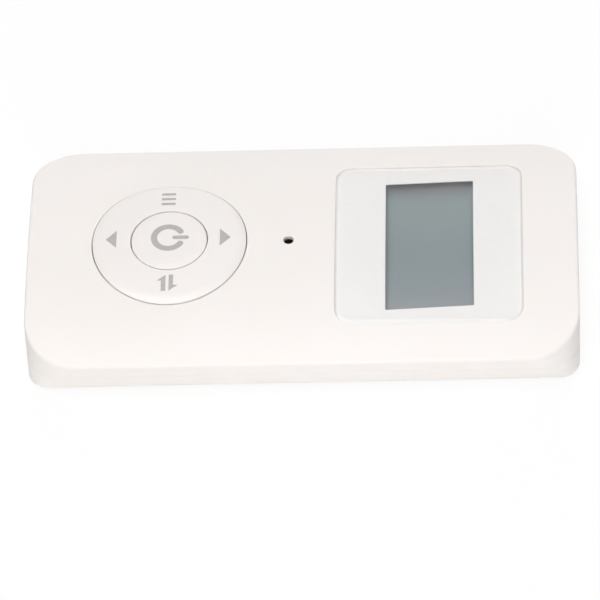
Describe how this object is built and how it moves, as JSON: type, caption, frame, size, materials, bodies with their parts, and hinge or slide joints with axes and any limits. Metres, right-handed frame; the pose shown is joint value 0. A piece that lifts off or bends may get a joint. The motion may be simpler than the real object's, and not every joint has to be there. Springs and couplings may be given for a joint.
{
  "type": "wall thermostat",
  "caption": "Slim crowned wall thermostat case with a sunk display window, a sensor hole, and a rocker ring round a power button.",
  "frame": {"origin": "centre of the flat rear face", "axes": "+X up the wall, towards the display; +Z out of the front face; +Y to the left seen from the front with +X up"},
  "size_m": [0.12, 0.062, 0.0159],
  "materials": {
    "case_white": "warm white moulded ABS, fine satin",
    "key_white": "warm white moulded ABS, grey printed symbols",
    "clear_window": "clear acrylic, polished",
    "window_print": "white print behind the window",
    "display_glass": "grey reflective liquid crystal display, switched off",
    "inner_plastic": "natural moulded plastic",
    "light_guide": "frosted acrylic",
    "silicone": "translucent grey silicone rubber",
    "circuit_board": "green solder mask",
    "black_plastic": "black moulded plastic",
    "steel": "bright steel",
    "copper": "bare copper wire",
    "aluminium": "aluminium can",
    "contact_metal": "plated spring bronze"
  },
  "bodies": {
    "root": {"front_shell": "case_white", "rear_shell": "case_white", "display_lens": "clear_window", "lens_mask": "window_print", "lcd_panel": "display_glass", "lcd_holder": "inner_plastic", "light_guide": "light_guide", "elastomer_strip_1": "silicone", "elastomer_strip_2": "silicone", "main_board": "circuit_board", "microcontroller": "black_plastic", "buzzer": "black_plastic", "temperature_sensor": "black_plastic", "sensor_sleeve": "black_plastic", "radio_module": "steel", "crystal": "steel", "antenna": "copper", "capacitor_1": "aluminium", "capacitor_2": "aluminium", "keypad_frame": "inner_plastic", "keypad_mat": "silicone", "coin_cell": "steel", "battery_holder": "black_plastic", "negative_contact": "contact_metal", "positive_contact": "contact_metal", "case_screw_1": "steel", "case_screw_2": "steel", "case_screw_3": "steel", "case_screw_4": "steel", "board_screw_1": "steel", "board_screw_2": "steel"},
    "collar": {"rocker_collar": "inner_plastic"},
    "ring": {"nav_ring": "key_white"},
    "power_key": {"power_button": "key_white"},
    "battery_cover": {"battery_door": "case_white"}
  },
  "joints": [
    {"name": "ring_rock_along", "type": "hinge", "parent": "root", "child": "collar", "pos_m": [-0.02905, 0, 0.0098], "axis": [0, 1, 0], "range_deg": [-1.8, 1.8], "stiffness_Nm_per_rad": 0.1},
    {"name": "ring_rock_across", "type": "hinge", "parent": "collar", "child": "ring", "pos_m": [-0.02905, 0, 0.0121], "axis": [1, 0, 0], "range_deg": [-1.8, 1.8], "stiffness_Nm_per_rad": 0.1},
    {"name": "power_press", "type": "slide", "parent": "root", "child": "power_key", "axis": [0, 0, -1], "range_m": [0, 0.0006], "stiffness_N_per_m": 600, "deforming": ["keypad_mat"]},
    {"name": "battery_cover_turn", "type": "hinge", "parent": "root", "child": "battery_cover", "pos_m": [0, 0, 0], "axis": [0, 0, -1], "range_deg": [0, 45]}
  ]
}
